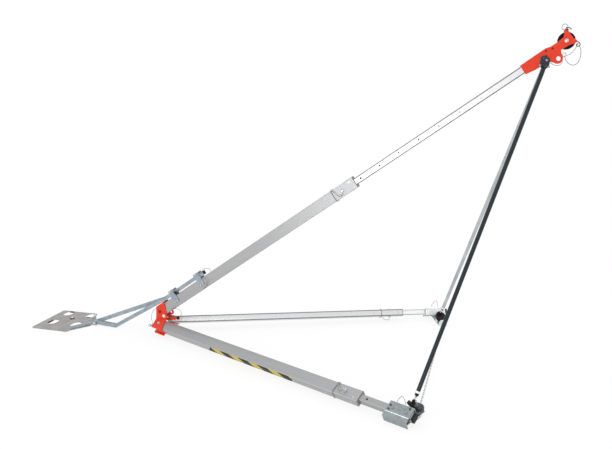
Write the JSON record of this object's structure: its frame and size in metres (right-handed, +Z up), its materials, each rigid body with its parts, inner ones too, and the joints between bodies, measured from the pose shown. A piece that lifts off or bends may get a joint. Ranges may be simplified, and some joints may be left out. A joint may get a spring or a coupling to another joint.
{
  "type": "aluminium rescue tripod used as a jib",
  "caption": "Telescopic rescue tripod laid out as an overhanging jib, with a pulley head, braced boom, folding legs and a floor anchor plate.",
  "frame": {"origin": "centre of the footprint box on the floor", "axes": "+X from the anchor plate towards the pulley head, +Y to the far leg, +Z up"},
  "size_m": [3.8374, 1.873, 2.1393],
  "materials": {
    "aluminium": "brushed satin",
    "black_plastic": "moulded",
    "black_steel": "black powder coat",
    "pale": "zinc plated",
    "red": "semi-gloss powder coat",
    "steel": "bright plated",
    "zinc": "galvanised"
  },
  "bodies": {
    "hub": {"back_hinge_bolt": "steel", "boom_hinge_bolt": "steel", "front_hinge_bolt": "steel", "hub_core": "red", "hub_front_plate": "red", "hub_lower_plate": "red", "hub_rear_plate": "red", "hub_stud_cap": "black_plastic"},
    "boom": {"anchor_pivot_bolt": "steel", "boom_guide": "black_plastic", "boom_outer_tube": "aluminium", "clamp_1_back_plate": "zinc", "clamp_1_bolt": "steel", "clamp_1_front_plate": "zinc", "clamp_2_back_plate": "zinc", "clamp_2_bolt": "steel", "clamp_2_front_plate": "zinc", "rear_bar_cap": "black_plastic", "rear_bar_lower": "zinc", "rear_bar_upper": "zinc"},
    "anchor": {"anchor_back_arm": "zinc", "anchor_front_arm": "zinc", "anchor_plate": "zinc"},
    "boom_inner": {"boom_inner_tube": "aluminium", "head_back_bracket": "zinc", "head_body": "red", "head_front_bracket": "zinc", "pulley_axle": "steel"},
    "pulley": {"pulley": "black_plastic"},
    "boom_pin": {"boom_pin": "steel"},
    "front_leg": {"front_guide": "black_plastic", "front_outer_tube": "aluminium"},
    "front_inner": {"front_foot_channel": "zinc", "front_foot_plug": "black_plastic", "front_foot_saddle": "black_steel", "front_inner_tube": "aluminium", "spreader_chain": "zinc"},
    "front_brace": {"front_brace_collar": "pale", "front_brace_nut": "black_steel", "front_brace_rod": "steel", "front_brace_tab": "zinc", "front_brace_tube": "steel"},
    "front_pin": {"front_pin": "steel"},
    "back_leg": {"back_guide": "black_plastic", "back_outer_tube": "aluminium"},
    "back_inner": {"back_foot_channel": "zinc", "back_foot_plug": "black_plastic", "back_foot_saddle": "black_steel", "back_inner_tube": "aluminium"},
    "back_brace": {"back_brace_collar": "pale", "back_brace_nut": "black_steel", "back_brace_rod": "steel", "back_brace_tab": "zinc", "back_brace_tube": "steel"},
    "back_pin": {"back_pin": "steel"}
  },
  "joints": [
    {"name": "boom_fold", "type": "hinge", "parent": "hub", "child": "boom", "pos_m": [-0.85361, 0, 0.17624], "axis": [0, 1, 0], "range_deg": [0, 18], "deforming": ["spreader_chain"]},
    {"name": "anchor_pivot", "type": "hinge", "parent": "boom", "child": "anchor", "pos_m": [-1.4382, 0, 0.02686], "axis": [0, 1, 0], "range_deg": [0, 75]},
    {"name": "boom_slide", "type": "slide", "parent": "boom", "child": "boom_inner", "axis": [0.8213, 0, 0.5704], "range_m": [-0.45, 0.45]},
    {"name": "pulley_spin", "type": "hinge", "parent": "boom_inner", "child": "pulley", "pos_m": [1.88216, 0, 2.06953], "axis": [0, 1, 0], "continuous": true},
    {"name": "boom_pin_pull", "type": "slide", "parent": "boom", "child": "boom_pin", "axis": [0, -1, 0], "range_m": [0, 0.1]},
    {"name": "front_leg_fold", "type": "hinge", "parent": "hub", "child": "front_leg", "pos_m": [-0.83534, -0.06553, 0.07499], "axis": [-0.1609, -0.4227, 0.8919], "range_deg": [0, 18], "deforming": ["spreader_chain"]},
    {"name": "front_leg_slide", "type": "slide", "parent": "front_leg", "child": "front_inner", "axis": [0.9263, -0.3765, -0.0113], "range_m": [0, 0.9], "deforming": ["spreader_chain"]},
    {"name": "front_pin_pull", "type": "slide", "parent": "front_leg", "child": "front_pin", "axis": [-0.1609, -0.4227, 0.8919], "range_m": [0, 0.1]},
    {"name": "front_brace_tip", "type": "hinge", "parent": "front_inner", "child": "front_brace", "pos_m": [1.16202, -0.74785, 0.0871], "axis": [0.3351, 0.8374, -0.4318], "range_deg": [0, 63]},
    {"name": "back_leg_fold", "type": "hinge", "parent": "hub", "child": "back_leg", "pos_m": [-0.83534, 0.06553, 0.07499], "axis": [0.1609, -0.4227, -0.8919], "range_deg": [0, 18], "deforming": ["spreader_chain"]},
    {"name": "back_leg_slide", "type": "slide", "parent": "back_leg", "child": "back_inner", "axis": [0.9263, 0.3765, -0.0113], "range_m": [0, 0.9], "deforming": ["spreader_chain"]},
    {"name": "back_pin_pull", "type": "slide", "parent": "back_leg", "child": "back_pin", "axis": [0.1609, -0.4227, -0.8919], "range_m": [0, 0.1]},
    {"name": "back_brace_tip", "type": "hinge", "parent": "back_inner", "child": "back_brace", "pos_m": [1.16202, 0.74785, 0.0871], "axis": [-0.3351, 0.8374, 0.4318], "range_deg": [0, 63]}
  ],
  "couplings": [
    {"joint": "front_leg_fold", "follows": "boom_fold", "ratio": 1},
    {"joint": "back_leg_fold", "follows": "boom_fold", "ratio": 1},
    {"joint": "front_brace_tip", "follows": "boom_fold", "ratio": 3.5},
    {"joint": "back_brace_tip", "follows": "boom_fold", "ratio": 3.5}
  ]
}
